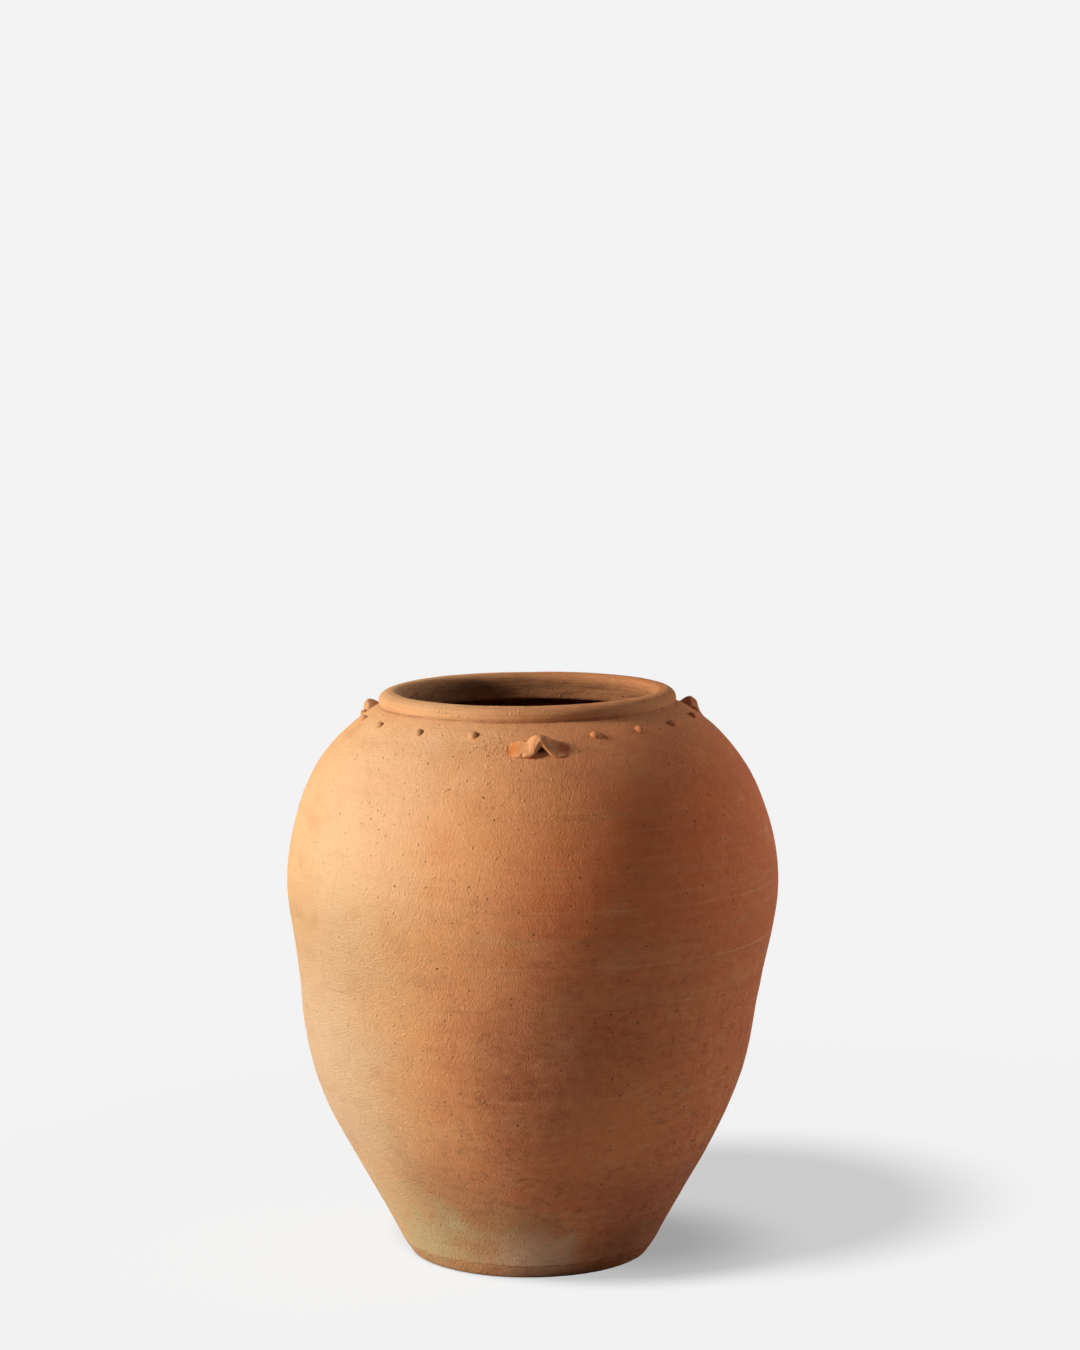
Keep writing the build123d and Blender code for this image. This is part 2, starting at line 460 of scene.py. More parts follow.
# patterns in the clay, per metre
clayPatterns = {
    "cloud": {"scale": 3.2, "detail": 3.0, "seed": 2.2},
    "patch": {"scale": 11.0, "detail": 4.0, "seed": 6.1},
    "blot": {"scale": 26.0, "detail": 4.0, "seed": 12.4, "stretch": (1.0, 1.0, 1.7)},
    "blotch": {"scale": 15.0, "detail": 4.0, "seed": 27.0, "stretch": (1.0, 1.0, 2.2)},
    "mottle": {"scale": 85.0, "detail": 5.0, "seed": 41.0, "stretch": (1.0, 1.0, 1.5), "rough": 0.65},
    "streak": {"scale": 2.4, "detail": 4.0, "seed": 8.3, "stretch": (1.0, 1.0, 16.0)},
    "fine": {"scale": 9.0, "detail": 3.0, "seed": 3.7, "stretch": (1.0, 1.0, 34.0)},
    "brushed": {"scale": 110.0, "detail": 3.0, "seed": 17.3, "stretch": (1.0, 1.0, 0.1)},
    "rise": {"scale": 60.0, "detail": 3.0, "seed": 21.0, "stretch": (1.0, 1.0, 0.25)},
    "scrape": {"scale": 7.0, "detail": 3.0, "seed": 15.5, "stretch": (0.5, 0.5, 13.0)},
    "drag": {"scale": 6.0, "detail": 3.0, "seed": 33.1, "stretch": (0.6, 0.6, 15.0)},
    "turning": {"scale": 9.0, "detail": 3.0, "seed": 23.0, "stretch": (1.0, 1.0, 60.0)},
    # breaks up the painted shade inside the mouth
    "soaked": {"scale": 38.0, "detail": 4.0, "seed": 51.0, "stretch": (1.0, 1.0, 5.0), "rough": 0.65},
    "swell": {"scale": 120.0, "detail": 3.0, "seed": 4.9},
    "crumb": {"scale": 260.0, "detail": 3.0, "seed": 19.0, "rough": 0.6},
    "grain": {"scale": 420.0, "detail": 3.0, "seed": 1.3, "rough": 0.6},
    "peel": {"scale": 520.0, "detail": 3.0, "seed": 9.1, "rough": 0.6},
    "sand": {"scale": 950.0, "detail": 2.0, "seed": 5.7, "rough": 0.6},
}
lugPlaces = {  # mm along, uphill and off the wall from the middle of the front lug
    "pad": (0.0, 0.0, 5.0), "side": (-42.0, -3.0, 0.0), "tunnel": (3.2, 1.0, 1.5),
}
# the tunnel spot is where shade is painted in the lug's tunnel
lugPad, lugSide, lugTunnel = onWall(*seats["lug_front"], *zip(*lugPlaces.values()))
# what the layers follow: a coordinate, the distance from a spot in metres or from a level line in mm,
# and the patterns that make it wander
clayRuns = {
    "across": {"along": "x", "wander": {"cloud": 0.12, "patch": 0.05, "streak": 0.05}},
    "fired": {"along": "height", "wander": {"patch": 150.0, "streak": 120.0}},
    "upper": {"along": "height", "wander": {"patch": 60.0, "x": -130.0}},
    "lower": {"along": "height", "wander": {"patch": 200.0}},
    "footSide": {"along": "x", "wander": {"patch": 0.1}},
    "footHeight": {"along": "height", "wander": {"patch": 60.0}},
    "mouth": {"along": "height", "wander": {"patch": 8.0}},
    "bellyShade": {"spot": (0.006, -0.22, 0.235), "wander": {"patch": 0.1}},
    # the next two are painted light on the shoulder, the left one partly pale scum
    "frontBloom": {"spot": (-0.005, -0.205, 0.49), "wander": {"patch": 0.1}},
    "leftBloom": {"spot": (-0.17, -0.16, 0.49), "wander": {"patch": 0.16, "blot": 0.1}},
    "glow": {"spot": (0.08, -0.19, 0.175), "wander": {"patch": 0.1, "streak": 0.1}},
    "damp": {"wander": {"patch": 0.12, "blot": 0.08, "rise": 0.05}},
    "footShade": {"spot": (-0.06, -0.17, 0.085), "wander": {"damp": 1.0}},
    "oliveGround": {"spot": (-0.045, -0.14, 0.01), "wander": {"damp": 1.0}},
    "paleGround": {"spot": (-0.12, -0.09, 0.03), "wander": {"damp": 1.0}},
    "chalk": {"spot": (0.01, -0.137, 0.012), "wander": {"damp": 0.5}},
    "smudgeLine": {"along": "height", "wander": {"x": -120.0}, "line": 32.0},
    "smudge": {"spot": (0.095, -0.1, 0.034), "wander": {"damp": 0.6, "smudgeLine": 0.0026}},
    "worn": {"along": "blot", "wander": {"patch": 1.0}},
    "scrapeLine": {"along": "scrape", "line": 0.0},
    "scraped": {"along": "streak", "wander": {"patch": 0.8}},
    "dragLine": {"along": "drag", "line": 0.0},
    "dragged": {"along": "streak", "wander": {"patch": -0.8}},
    "seamLine": {"along": "height", "wander": {"blot": 3.5}, "line": 15.0},
    "seamDirt": {"along": "x", "wander": {"patch": 1.0, "blot": 0.7}},
    "neckLine": {"along": "height", "wander": {"x": -math.tan(math.radians(handWork["rimTilt"])) / mm},
                 "line": 585.6},  # leans with the rim
    "lugPad": {"spot": tuple(lugPad)},
    "crumbs": {"spot": tuple(lugSide), "wander": {"patch": 0.03, "blot": 0.03}},
    # where shade is painted in the lug's tunnel
    "lugTunnel": {"spot": tuple(lugTunnel)},
}


def layer(tone, share, *bands, look=None, relief=0.0):  # relief: how far it raises the clay
    return {"tone": tone, "share": share, "bands": bands, "look": look, "relief": relief}


def jointLayer(line, tone, share):  # a joint between two rings, rubbed and broken, fainter on the left
    away = {"along": "height", "wander": {"streak": 6.0, "patch": 3.0}, "line": line}
    return layer(tone, 1.0, (away, 2.2, 0.2), ("worn", -0.2, 0.15), ("x", -0.16, -0.03, 0.05, share))


# layers of colour in the order they are laid on: tone, share, and the bands that it is the product of;
# a band has what it follows, where it starts and is full, and the shares there if they aren't 0 and 1
wallLayers = [
    # fired redder on the right, paler and yellower towards the left
    # the first two are also painted light and shade: paler on the lit left, redder on the shaded right
    layer("orange", 1.0, ("across", 0.04, -0.08)),
    layer("buff", 1.0, ("across", -0.06, -0.2)),
    layer("ember", 0.45, ("fired", 440.0, 285.0), ("x", -0.13, -0.04)),
    layer("rust", 0.16, ("fired", 440.0, 285.0), ("x", -0.06, 0.0)),
    layer("tan", 1.0, ("upper", 470.0, 580.0), ("x", 0.15, -0.12, 0.3, 0.75)),
    layer("ochre", 0.5, ("height", 572.0, 590.0), ("x", -0.1, 0.08)),
    layer("umber", 0.46, ("bellyShade", 0.12, 0.02)),
    # cloudy, streaked and brushed
    layer("rust", 0.17, ("patch", 0.02, 0.25)),
    layer("rust", 1.0, ("blot", 0.02, 0.24), ("height", 420.0, 120.0, 0.16, 0.3)),
    layer("dust", 0.3, ("blot", -0.02, -0.24), ("height", 420.0, 120.0)),
    layer("buff", 0.2, ("streak", 0.0, 0.3)),
    layer("rust", 0.11, ("streak", 0.0, -0.25)),
    layer("buff", 0.15, ("fine", 0.04, 0.26)),
    layer("umber", 1.0, ("fine", -0.04, -0.24), ("x", -0.16, 0.0, 0.03, 0.12)),
    layer("deep", 0.08, ("brushed", 0.0, 0.28)),
    # paler to the left of the lower wall: partly pale scum, partly painted light on the lit side
    layer("scumAndLight", 0.4, ("across", -0.12, -0.23), ("height", 400.0, 240.0)),
    # mottled, more so on the lower wall
    layer("rust", 1.0, ("blotch", 0.02, 0.24), ("x", -0.14, 0.02, 0.05, 0.2)),
    layer("buff", 0.18, ("blotch", -0.04, -0.24)),
    layer("umber", 1.0, ("mottle", 0.02, 0.18), ("lower", 440.0, 90.0, 0.1, 0.44),
          ("x", -0.16, 0.05, 0.2, 1.5)),
    layer("dust", 1.0, ("mottle", 0.0, -0.18), ("lower", 440.0, 90.0, 0.1, 0.44)),
    # paler on the front and left of the shoulder: painted light, and on the left pale scum as well
    layer("orange", 0.38, ("frontBloom", 0.12, 0.03)),
    layer("scumAndLight", 0.22, ("leftBloom", 0.17, 0.03)),
    # redder on the right above the foot, and browner below that: painted shade on the lower right
    layer("ember", 0.66, ("glow", 0.12, 0.02)),
    layer("umber", 0.42, ("footSide", 0.02, 0.1), ("footHeight", 160.0, 85.0)),
    # stains that rose from the ground: olive in front, pale on the left, dark smudges on the right
    layer("umber", 0.3, ("footShade", 0.11, 0.02)),
    layer("olive", 0.5, ("oliveGround", 0.14, 0.015)),
    layer("stain", 0.85, ("paleGround", 0.09, 0.01)),
    layer("scumAndLight", 0.42, ("chalk", 0.06, 0.01)),
    layer("moss", 0.32, ("smudge", 0.1, 0.0)),
    jointLayer(351.0, "dust", 0.45),
    jointLayer(306.0, "rust", 0.3),
    jointLayer(210.0, "dust", 0.35),
    jointLayer(408.0, "dust", 0.4),
    # thin scrapes round the wall, pale and dark
    layer("buff", 0.26, ("scrapeLine", 0.005, 0.001), ("scraped", 0.0, 0.2), relief=-0.3),
    layer("umber", 0.32, ("dragLine", 0.004, 0.0), ("dragged", 0.02, 0.2), relief=-0.3),
    # dirt in the seam over the foot disc, here and there, and in the groove under the rim
    layer("sootAndShade", 1.0, ("seamLine", 1.7, 0.3), ("seamDirt", -0.12, 0.12, 0.15, 0.9),
          look="seam", relief=-0.6),
    layer("slip", 1.0, look="foot"),
    layer("sootAndShade", 1.0, ("neckLine", 2.0, 0.4), ("blot", -0.3, 0.2, 0.2, 0.6), look="seam"),
    # the front lug is of paler clay, the side ones and the pellets darker
    layer("pad", 0.15, ("lugPad", 0.07, 0.035), look="applied"),
    layer("umber", 0.25, ("lugPad", 0.07, 0.035, 1.0, 0.0), look="applied"),
]
topLayers = [
    # crumbs beside the front lug, and painted shade in its tunnel
    layer("slip", 0.4, ("crumbs", 0.026, 0.006), ("crumb", 0.0, 0.16), relief=0.7),
    layer("sootAndShade", 0.85, ("lugTunnel", 0.0085, 0.004)),
    # painted shade inside the mouth, below the lip
    layer("mouthShade", 0.7, ("outward", -7.0, -14.0), ("mouth", 602.0, 590.0)),
    layer("sootAndShade", 0.5, ("outward", -7.0, -14.0), ("mouth", 602.0, 590.0), ("soaked", -0.04, 0.16)),
    # pits, pale grit, grain, and lines left on the rim as it was turned
    layer("pit", 1.0, ("pits", 0.0, 0.8), ("x", -0.22, -0.04, 0.4, 0.85)),
    layer("buff", 0.14, ("grit",)),
    layer("deep", 0.12, ("grain", -0.2, 0.2)),
    layer("rust", 0.18, ("onRim",), ("turning", 0.0, 0.22)),
]
# ends of the lugs rubbed into the wall: places in mm, sizes in metres
lugEnds = {
    "along": (-25.0, 26.0), "uphill": (-1.0, 0.0), "lift": (2.0, 2.0), "tones": ("slip", "rubbed"),
    "band": (0.014, 0.004), "wander": {"patch": 0.012, "blot": 0.014},
    "strength": {"lug_front": 0.85, "lug_right": 0.5, "lug_left": 0.5},
    "scratches": {"scale": 620.0, "slant": 0.1, "band": (0.52, 0.68), "share": 0.8},
}
# cells of clay: how many per metre, size of the spot in one, and the chances of a spot
clayCells = {
    "pits": [(62.0, 0.1, 0.45), (24.0, 0.06, 0.6), (120.0, 0.15, 0.5)],
    "shift": (0.3, 0.1, 0.2), "ragged": 1.6, "full": 0.2,  # a pit's edge, and how much of it is full
    "gritScale": 150.0, "gritBand": (0.3, 0.1), "gritChance": (0.86, 0.95),
}
# relief: shares of the bump's distance
clayRelief = {
    "skin": {"peel": 1.6, "sand": 0.8}, "coarse": (480.0, 330.0, 0.75, 1.6),  # coarser on the lower wall
    "rim": (572.0, 588.0), "rimCoarse": 0.3, "rimLines": 1.5,
    "spread": {"grit": 0.9, "pits": -1.4, "swell": 0.8},
}
claySheen = {"rough": (-0.3, 0.3, 0.82, 0.95), "specular": 0.25}  # roughness follows the clouds
wallTop = (602, 150)  # height over the rim, and a radius there, in mm


def wallTable(rows=15):  # outside radius by height, in mm
    line = outside.walk(np.linspace(0, outside.length, rows))
    return [(height, radius) for radius, height in line] + [wallTop]


class ClayCoat:  # a clay's colour and relief, laid on in layers
    def __init__(self, g, look):
        self.g = g
        self.look = look
        self.place = g.add("ShaderNodeTexCoord", out="Object")
        x, _, z = g.parts(self.place)
        height = z / mm
        radius = g.measure("LENGTH", self.place * (1.0, 1.0, 0.0)) / mm
        onRim = g.band(height, *clayRelief["rim"])
        outward = radius - g.curve(height, wallTable())  # off the wall's outside
        self.runs = {"x": x, "z": z, "height": height, "onRim": onRim, "outward": outward}
        self.runs["pits"], self.runs["grit"] = self.cellSpots()
        self.colour = clayLook["red"]
        self.relief = self.skin()

    def follow(self, what):  # a coordinate, a pattern or a run, made once
        if isinstance(what, dict):
            return self.run(**what)
        if what not in self.runs:
            known = what in clayPatterns
            self.runs[what] = self.pattern(**clayPatterns[what]) if known else self.run(**clayRuns[what])
        return self.runs[what]

    def pattern(self, scale, detail, seed, stretch=None, rough=0.5):  # runs about zero
        place = self.place * stretch if stretch else self.place
        return self.g.noise(place, scale, detail, seed, rough) - 0.5

    def run(self, along=None, spot=None, wander=None, line=None):
        value = self.follow(along) if along else 0.0
        if spot:
            value = self.g.measure("DISTANCE", self.place, spot)
        for name, amount in (wander or {}).items():
            value = value + self.follow(name) * amount
        return value if line is None else abs(value - line)

    def lay(self, tone, share, bands=(), look=None, relief=0.0):
        cover = self.look.get(look, 1.0)
        for what, *limits in bands:
            run = self.follow(what)
            cover = cover * (self.g.band(run, *limits) if limits else run)
        self.colour = self.g.mix(cover * share, self.colour, clayLook[tone])
        if relief:
            self.relief = self.relief + cover * relief

    def cells(self, scale, shift=(0.0, 0.0, 0.0)):  # distance from the middle of each cell, and its chances
        inputs = {"Vector": self.place + shift, "Scale": scale}
        node = self.g.add("ShaderNodeTexVoronoi", None, inputs).socket.node
        return Wire(self.g, node.outputs["Distance"]), self.g.parts(Wire(self.g, node.outputs["Color"]))

    def cellSpots(self):  # small dark pits, a few large, and pale grit
        spec = clayCells
        pits = 0.0
        for scale, size, bare in spec["pits"]:
            away, chances = self.cells(scale, spec["shift"])
            away = away + self.follow("peel") * (size * spec["ragged"])
            spot = self.g.band(away, size, size * spec["full"])
            pits = pits + spot * self.g.band(chances[0], bare, 1.0, ease="LINEAR")
        away, chances = self.cells(spec["gritScale"])
        return pits, self.g.band(away, *spec["gritBand"]) * self.g.band(chances[1], *spec["gritChance"])

    def skin(self):  # grain of the clay, coarser in places, and turned lines on the rim
        spec = clayRelief
        onRim = self.follow("onRim")
        coarse = self.g.band(self.follow("height"), *spec["coarse"]) + onRim * spec["rimCoarse"]
        skin = sum((self.follow(name) + 0.5) * share for name, share in spec["skin"].items()) * coarse
        for name, share in spec["spread"].items():
            skin = skin + self.follow(name) * share
        return skin + (self.follow("turning") + 0.5) * onRim * spec["rimLines"]

    def rubLugEnds(self):
        spec = lugEnds
        lines = spec["scratches"]
        for node, strength in spec["strength"].items():
            turn, drop = seats[node]
            step = self.g.measure("DOT_PRODUCT", self.place, (math.cos(turn), math.sin(turn), 0.0))
            combed = self.g.vector(step, 0.0, self.follow("z") * lines["slant"])
            self.runs["scratch"] = self.g.noise(combed, lines["scale"])
            spots = onWall(turn, drop, spec["along"], spec["uphill"], spec["lift"])
            for spot, tone in zip(spots, spec["tones"]):
                rub = ({"spot": tuple(spot), "wander": spec["wander"]}, *spec["band"])
                self.lay(tone, strength, [rub])
                self.lay("scratch", strength * lines["share"], [rub, ("scratch", *lines["band"])])


def claySurface(look):
    material = bpy.data.materials.new(look["name"])
    material.use_nodes = True
    g = Graph(material.node_tree)
    coat = ClayCoat(g, look)
    for coating in wallLayers:
        coat.lay(**coating)
    coat.rubLugEnds()
    for coating in topLayers:
        coat.lay(**coating)
    bumpInputs = {"Strength": 1.0, "Distance": look["bump"] * mm, "Height": coat.relief}
    bump = g.add("ShaderNodeBump", None, bumpInputs)
    rough = g.band(coat.follow("cloud"), *claySheen["rough"])
    inputs = {"Base Color": coat.colour, "Roughness": rough, "Normal": bump,
              "Specular IOR Level": claySheen["specular"]}
    surface = g.add("ShaderNodeBsdfPrincipled", None, inputs)
    g.add("ShaderNodeOutputMaterial", None, {"Surface": surface})
    return material


clayKinds = {  # depth of the bump in mm, and shares of dirt in seams, of foot slip and of applied clay
    "wall_clay": {"name": "wallClay", "bump": 1.0, "seam": 0.65, "foot": 0.0, "applied": 0.0},
    "foot_clay": {"name": "footClay", "bump": 1.6, "seam": 0.65, "foot": 0.3, "applied": 0.0},
    "applied_clay": {"name": "appliedClay", "bump": 0.6, "seam": 0.0, "foot": 0.0, "applied": 1.0},
}
clays = {slot: claySurface(look) for slot, look in clayKinds.items()}
print("clays:", len(clays))
hand = handShape()
ringTree = throwRing(hand)


def turnPiece(node, section, segments, slot):
    points = [(r * mm, 0, max(h, 0) * mm) for r, h in section]
    piece = newPiece(node + "_clay", points)
    runTree(piece, ringTree, {"segments": segments, "wobble": 1.0, "lumps": 1.0, "clay": clays[slot]})
    seatPiece(piece, node, ringSharp)
    print(node, len(section), "rows,", len(piece.data.polygons), "faces")


for node, (outer, over, inner, under) in rings.items():
    climb = outside.walk(evenSteps(*[outside.lengthAt(p) for p in outer], wallRings["outerStep"]))
    fall = inside.walk(evenSteps(*[inside.lengthAt(p) for p in inner], wallRings["innerStep"]))
    turnPiece(node, [*climb, *over, *fall, *under], wallRings["segments"], "wall_clay")
for node, spec in turnedParts.items():
    section = []
    for side in stretches(sectionOf(node)):
        if len(side) == 2 and np.linalg.norm(side[1] - side[0]) < jointFlat:
            section.append(side[0])
            continue
        line = SmoothLine(longGaps(side, longRun))
        section.extend(line.walk(evenSteps(0, line.length, spec["step"]))[:-1])
    turnPiece(node, section, spec["segments"], spec["slot"])


# Straps pinched into lugs: sizes in mm, along the ring, uphill and off the wall
lugShape = {
    # heights along the front edge, along the crest, and of the tunnel under them
    "front": [(-31, -0.8), (-28, 0.1), (-24, 1.2), (-19, 2.9), (-14, 3.8), (-9, 4.2), (-5, 5.0), (-2.8, 7.0),
              (-1.3, 9.3), (0.8, 11.5), (3.2, 13.0), (4.2, 12.6), (6.1, 9.5), (9.2, 5.2), (13, 2.9),
              (16, 2.2), (21, 1.8), (26, 1.2), (29, 0.2), (31, -0.8)],
    "crest": [(-31, -0.8), (-28, 0.3), (-24, 1.7), (-19, 3.6), (-13, 5.2), (-9.5, 6.6), (-6.5, 9.4),
              (-3, 12.0), (1, 13.2), (4.5, 13.3), (7.5, 12.4), (10, 10.4), (13, 7.4), (17, 5.2),
              (21, 3.6), (25, 1.7), (28.5, 0.2), (31, -0.8)],
    "tunnel": [(-31, -3), (-13, -2.4), (-9.5, -1.0), (-7.5, -0.3), (-4.5, 0.2), (-2, 1.0), (0.2, 2.4),
               (2, 4.3), (3.3, 5.5), (4.5, 5.4), (6.1, 4.6), (9.2, 2.0), (12, 0.4), (15, -0.8),
               (20, -2.4), (31, -3)],
    # the front edge above and below, and the back edge, uphill of the middle
    "lip": [(-31, -8.0), (-27, -10.2), (-18, -11.0), (-8, -11.3), (-5, -10.3), (-2.8, -6.5), (-1.3, -3.5),
            (0.8, -1.0), (3.2, 0.4), (4.4, 0.0), (6.1, -2.2), (9.2, -6.2), (13, -9.8), (16, -11.0),
            (21, -11.2), (27, -9.5), (31, -6)],
    "sill": [(-31, -8.0), (-27, -10.6), (-18, -11.6), (-9.5, -11.4), (-7.5, -10.6), (-4.5, -8.2), (-2, -6.5),
             (0.2, -5.0), (2, -3.8), (3.3, -3.0), (4.5, -3.4), (6.1, -4.5), (9.2, -6.8), (12, -9.4),
             (15, -11.2), (21, -11.6), (27, -9.8), (31, -6)],
    "backEdge": [(-31, 9.0), (-24, 13.0), (-8, 14.5), (4, 15.5), (12, 14.5), (24, 12.5), (31, 8)],
    "halfSpan": 31, "crestLine": 7.6, "lipThickness": 1.5,
    "backDepth": 1.2, "underDepth": 2.6,  # how deep the back edge and the underside run into the wall
    "tunnelEnd": 7.5, "tunnelRamp": 6, "rounding": 3, "steps": 156,
    "rows": {"top": 18, "back": 10, "under": 14, "face": 9},
}
# node: which way round the strap was pressed on, how far down it slipped, how high its fold is,
# and its dents: along, uphill, depth and size
lugTurns = {
    "lug_front": {"flip": 1, "slip": 0.0, "crest": 1.0,
                  "dents": [(-10.6, 9.0, 3.4, 2.6), (-15.5, -10.0, 1.8, 1.6), (20, -6, 0.8, 3.5)]},
    "lug_right": {"flip": -1, "slip": -4.0, "crest": 1.05,
                  "dents": [(9.0, 6.0, 2.2, 3.0), (-14, 2, 1.0, 4.0)]},
    "lug_left": {"flip": 1, "slip": -4.0, "crest": 1.1,
                 "dents": [(-7.0, 2.0, 1.6, 3.0), (12, -4, 1.0, 3.5)]},
}
lugClay = {"wobble": 1.0, "lumps": 1.0, "rough": 0.3, "roughScale": 150.0}
lugSharp = 60  # degrees


def lookUp(table, where, rows=400):
    line = SmoothLine(np.array(table, float))
    fine = line.walk(np.linspace(0, line.length, rows))
    return np.interp(where, fine[:, 0], fine[:, 1])


def wornRound(values):  # each row of a section drawn towards its two neighbours
    return values * 0.5 + (np.roll(values, 1, axis=1) + np.roll(values, -1, axis=1)) * 0.25


def pinchLug(node, spec):
    shape = lugShape
    turn, drop = seats[node]
    spread = np.linspace(-shape["halfSpan"], shape["halfSpan"], shape["steps"])
    keys = ("front", "crest", "tunnel", "lip", "sill", "backEdge")
    front, crest, tunnel, lip, sill, back = [lookUp(shape[key], spread)[:, None] for key in keys]
    front, crest, tunnel = [heights * spec["crest"] for heights in (front, crest, tunnel)]
    tunnel = np.minimum(tunnel, front - shape["lipThickness"])
    share = {key: np.linspace(0, 1, count, endpoint=False)[None] for key, count in shape["rows"].items()}
    ease = share["back"] ** 2 * (3 - 2 * share["back"])
    line = shape["crestLine"]
    beneath = back + (sill - back) * share["under"]
    opened = np.clip((shape["tunnelEnd"] - beneath) / shape["tunnelRamp"], 0, 1)
    rows = [  # over the top, down the back, through the tunnel and up the front face
        (lip + (line - lip) * share["top"], front + (crest - front) * np.sin(share["top"] * math.pi / 2)),
        (line + (back - line) * share["back"], crest - (shape["backDepth"] + crest) * ease),
        (beneath, (tunnel + shape["underDepth"]) * opened - shape["underDepth"]),
        (sill + (lip - sill) * share["face"], tunnel + (front - tunnel) * share["face"]),
    ]
    uphill, lift = [np.concatenate(part, axis=1) for part in zip(*rows)]
    for _ in range(shape["rounding"]):
        uphill, lift = wornRound(uphill), wornRound(lift)
    along = np.broadcast_to(spread[:, None], uphill.shape)
    upper = np.arange(lift.shape[1]) < shape["rows"]["top"] + shape["rows"]["back"]
    for u, v, depth, size in spec["dents"]:
        dent = depth * np.exp(-((along - u) ** 2 + (uphill - v) ** 2) / size**2)
        lift = np.where(upper, lift - dent, lift)
    around = uphill.shape[1]
    points = onWall(turn, drop + spec["slip"], along.ravel() * spec["flip"], uphill.ravel(), lift.ravel())
    faces = []
    for i in range(shape["steps"] - 1):
        for j in range(around):
            k = (j + 1) % around
            faces.append((i * around + j, i * around + k, (i + 1) * around + k, (i + 1) * around + j))
    last = (shape["steps"] - 1) * around
    faces += [tuple(range(around)), tuple(range(last, last + around))]
    return newPiece(node + "_clay", points, (), faces)


def pressedTree(hand):  # hand work on a piece that is already a mesh
    graph, entry = newTree("pressedOn", {**lugClay, "clay": ""})
    place = graph.add("GeometryNodeInputPosition")
    rough = (graph.noise(place, entry["roughScale"], seed=2.7) - 0.5) * entry["rough"] * (2 * mm)
    push = graph.add("GeometryNodeInputNormal") * rough
    pushed = graph.add("GeometryNodeSetPosition", None, {"Geometry": entry["Geometry"], "Offset": push})
    return finishTree(graph, entry, pushed, hand)


pressed = pressedTree(hand)
for node, spec in lugTurns.items():
    piece = pinchLug(node, spec)
    runTree(piece, pressed, {**lugClay, "clay": clays["applied_clay"]})
    seatPiece(piece, node, lugSharp)
print("lugs:", len(lugTurns))

# Pellets rolled between the fingers and pressed on: sizes in mm
pelletLook = {"radius": 5.0, "flat": 0.86, "spread": 0.12, "dent": 0.7, "dentScale": 170.0,
              "wobble": 1.0, "lumps": 0.3}
pelletSink = 0.6
pelletSharp = 75  # degrees
firstSeed = 3
pelletSlips = {  # how far down the slope some of them were pressed on
    "pellet_front_left_5": -2.0, "pellet_front_left_4": -0.2, "pellet_front_left_3": -1.7,
    "pellet_front_left_2": -2.4, "pellet_front_right_1": 0.6, "pellet_front_right_2": -1.0,
    "pellet_front_right_3": -1.6, "pellet_front_right_4": -2.6, "pellet_back_2": 1.5, "pellet_back_4": -1.2,
}


def pelletTree(hand, seedStep=(0.037, 0.021)):  # metres that each seed moves the dents by, sideways and up
    graph, entry = newTree("pressPellet", {**pelletLook, "seed": firstSeed, "clay": ""})
    ball = graph.add("GeometryNodeMeshIcoSphere", None, {"Radius": entry["radius"] * mm, "Subdivisions": 5})
    place = graph.add("GeometryNodeInputPosition")
    moved = place + graph.vector(entry["seed"] * seedStep[0], 0.0, entry["seed"] * seedStep[1])
    dent = (graph.noise(moved, entry["dentScale"], detail=1.0) - 0.5) * entry["dent"] * (2 * mm)
    push = graph.add("GeometryNodeInputNormal") * dent
    lumpy = graph.add("GeometryNodeSetPosition", None, {"Geometry": ball, "Offset": push})
    limits = {2: 1.0 - entry["spread"], 3: 1.0 + entry["spread"], "Seed": entry["seed"]}
    wide = graph.add("FunctionNodeRandomValue", {"data_type": "FLOAT"}, {**limits, "ID": 1}, out=1)
    tall = graph.add("FunctionNodeRandomValue", {"data_type": "FLOAT"}, {**limits, "ID": 2}, out=1)
    kind = {"data_type": "FLOAT_VECTOR"}
    normal = graph.add("GeometryNodeInputNamedAttribute", kind, {"Name": "seatNormal"})
    seat = graph.add("FunctionNodeAlignEulerToVector", {"axis": "Z"}, {"Vector": normal})
    inputs = {"Points": entry["Geometry"], "Instance": lumpy, "Rotation": seat,
              "Scale": graph.vector(wide, tall, entry["flat"])}
    placed = graph.add("GeometryNodeInstanceOnPoints", None, inputs)
    real = graph.add("GeometryNodeRealizeInstances", None, {"Geometry": placed})
    return finishTree(graph, entry, real, hand)


pellets = pelletTree(hand)
pelletNodes = sorted(name for name in nodes if name.startswith("pellet_"))
for number, node in enumerate(pelletNodes):
    turn, drop = seats[node]
    drop += pelletSlips.get(node, 0.0)
    seatFace = onWall(turn, drop, (-1.0, 1.0, 1.0, -1.0), (-1.0, -1.0, 1.0, 1.0), (-pelletSink,) * 4)
    piece = newPiece(node + "_clay", [seatFace.mean(axis=0)])
    normal = np.cross(seatFace[1] - seatFace[0], seatFace[3] - seatFace[0])
    seatNormal = piece.data.attributes.new("seatNormal", "FLOAT_VECTOR", "POINT")
    seatNormal.data[0].vector = normal / np.linalg.norm(normal)
    runTree(piece, pellets, {**pelletLook, "seed": number + firstSeed, "clay": clays["applied_clay"]})
    seatPiece(piece, node, pelletSharp)
print("pellets:", len(pelletNodes))

# Camera where the photograph was taken from
view = {"place": (0.0112, -3.770, 1.0759), "pitch": 83.015, "lens": 96.53, "sensor": 36.0}
camera = bpy.data.objects.new("photoCamera", bpy.data.cameras.new("photoCamera"))
camera.data.lens = view["lens"]
camera.data.sensor_width = view["sensor"]
camera.location = view["place"]
camera.rotation_euler = (math.radians(view["pitch"]), 0, 0)
bpy.context.scene.collection.objects.link(camera)
bpy.context.scene.camera = camera
bpy.context.scene.view_settings.view_transform = "Standard"

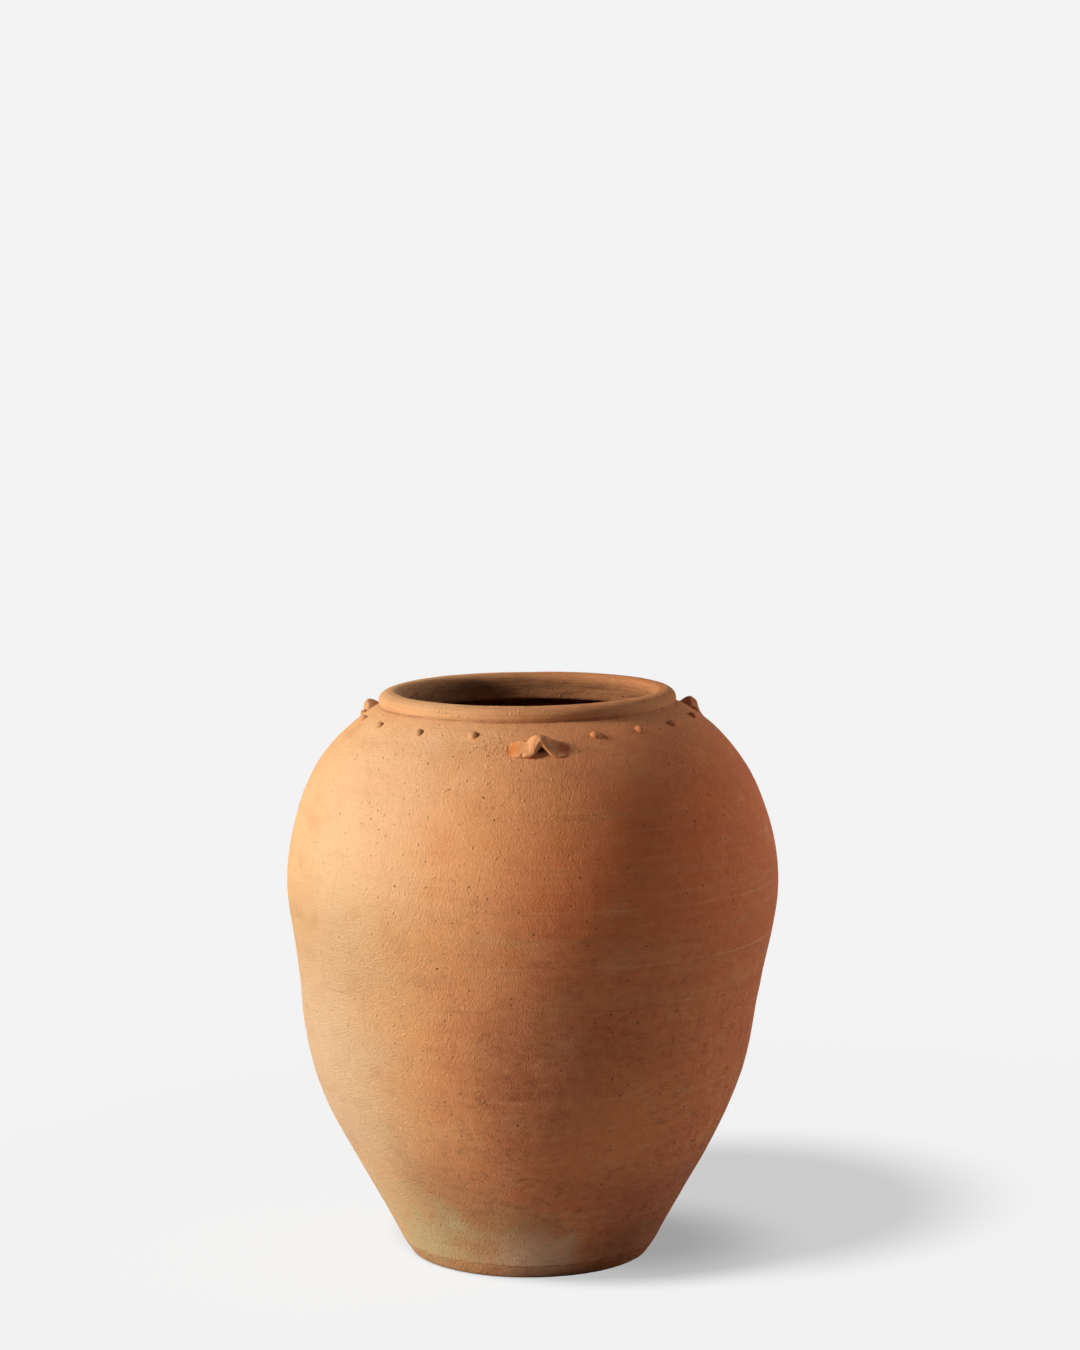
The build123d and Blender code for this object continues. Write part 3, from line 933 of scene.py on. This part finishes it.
# Soft studio light: the side lamps reach the jar, the top lamp gives the floor its shadow
studio = {
    "key": {"turn": -75.5, "rise": 21.5, "strength": 3.84, "angle": 14, "colour": (1.0, 0.985, 0.96)},
    "fill": {"turn": 120, "rise": 14, "strength": 1.19, "angle": 28, "colour": (1.0, 0.97, 0.94)},
    "top": {"turn": -50, "rise": 57, "strength": 8.8, "angle": 14, "colour": (1.0, 1.0, 1.0)},
    "ambient": (0.088, 0.08, 0.076, 1.0), "pale": shade(243, 243, 243),
}
# the floor as the camera sees it, as the jar does, its own glow, and where it becomes the backdrop
paleFloor = {
    "half": 9.0, "seen": 0.12, "bounce": 0.16, "glow": (0.592, 0.593, 0.593, 1.0),
    "middle": (0.2, 0.05, 0.0), "fade": (0.75, 1.05),
    # painted contact shadow on the floor, under the overhang of the belly
    "contactShadow": {"spot": (0.11, 0.02, 0.0), "reach": 0.2, "full": 0.04, "dark": 0.42},
}


def addSun(name, spec, lit):
    lamp = bpy.data.lights.new(name, "SUN")
    lamp.energy = spec["strength"]
    lamp.angle = math.radians(spec["angle"])
    lamp.color = spec["colour"]
    sun = bpy.data.objects.new(name, lamp)
    turn, rise = math.radians(spec["turn"]), math.radians(spec["rise"])
    towards = Vector((math.sin(turn) * math.cos(rise), -math.cos(turn) * math.cos(rise), math.sin(rise)))
    sun.rotation_mode = "QUATERNION"
    sun.rotation_quaternion = towards.to_track_quat("Z", "Y")
    bpy.context.scene.collection.objects.link(sun)
    group = bpy.data.collections.new(name)
    for piece in lit:
        group.objects.link(piece)
    sun.light_linking.receiver_collection = group


def seenRay(g):  # rays that show the background: straight, mirrored or through glass
    rays = g.add("ShaderNodeLightPath").socket.node
    labels = ("Is Camera Ray", "Is Glossy Ray", "Is Transmission Ray")
    return g.maths("MINIMUM", sum(Wire(g, rays.outputs[label]) for label in labels), 1.0)


def grey(value):
    return (value, value, value, 1.0)


def layFloor(spec):
    half = spec["half"]
    corners = [(-half, -half, 0), (half, -half, 0), (half, half, 0), (-half, half, 0)]
    floor = newPiece("floor", corners, (), [(0, 1, 2, 3)])
    material = bpy.data.materials.new("paleFloor")
    material.use_nodes = True
    g = Graph(material.node_tree)
    place = g.add("ShaderNodeTexCoord", out="Object")
    seen = seenRay(g)
    tone = g.mix(seen, grey(spec["bounce"]), grey(spec["seen"]))
    ground = g.add("ShaderNodeBsdfDiffuse", None, {"Color": tone})
    touch = spec["contactShadow"]
    under = g.measure("DISTANCE", place, touch["spot"])
    # painted contact shadow: the floor's glow is dimmed near the foot
    light = g.band(under, touch["full"], touch["reach"], 1.0 - touch["dark"], 1.0)
    glow = g.add("ShaderNodeEmission", None, {"Color": spec["glow"], "Strength": seen * light})
    near = g.add("ShaderNodeAddShader", None, {0: ground, 1: glow})
    pale = g.add("ShaderNodeEmission", None, {"Color": studio["pale"], "Strength": 1.0})
    share = g.band(g.measure("DISTANCE", place, spec["middle"]), *spec["fade"]) * seen
    surface = g.add("ShaderNodeMixShader", None, {0: share, 1: near, 2: pale})
    g.add("ShaderNodeOutputMaterial", None, {"Surface": surface})
    floor.data.materials.append(material)
    return floor


def paleWorld():
    world = bpy.data.worlds.new("studioWorld")
    world.use_nodes = True
    bpy.context.scene.world = world
    g = Graph(world.node_tree)
    tone = g.mix(seenRay(g), studio["ambient"], studio["pale"])
    surface = g.add("ShaderNodeBackground", None, {"Color": tone, "Strength": 1.0})
    g.add("ShaderNodeOutputWorld", None, {"Surface": surface})


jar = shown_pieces()
floor = layFloor(paleFloor)
addSun("keyLight", studio["key"], jar)
addSun("fillLight", studio["fill"], jar)
addSun("topLight", studio["top"], [floor])
paleWorld()
print("studio: lights, floor, camera")
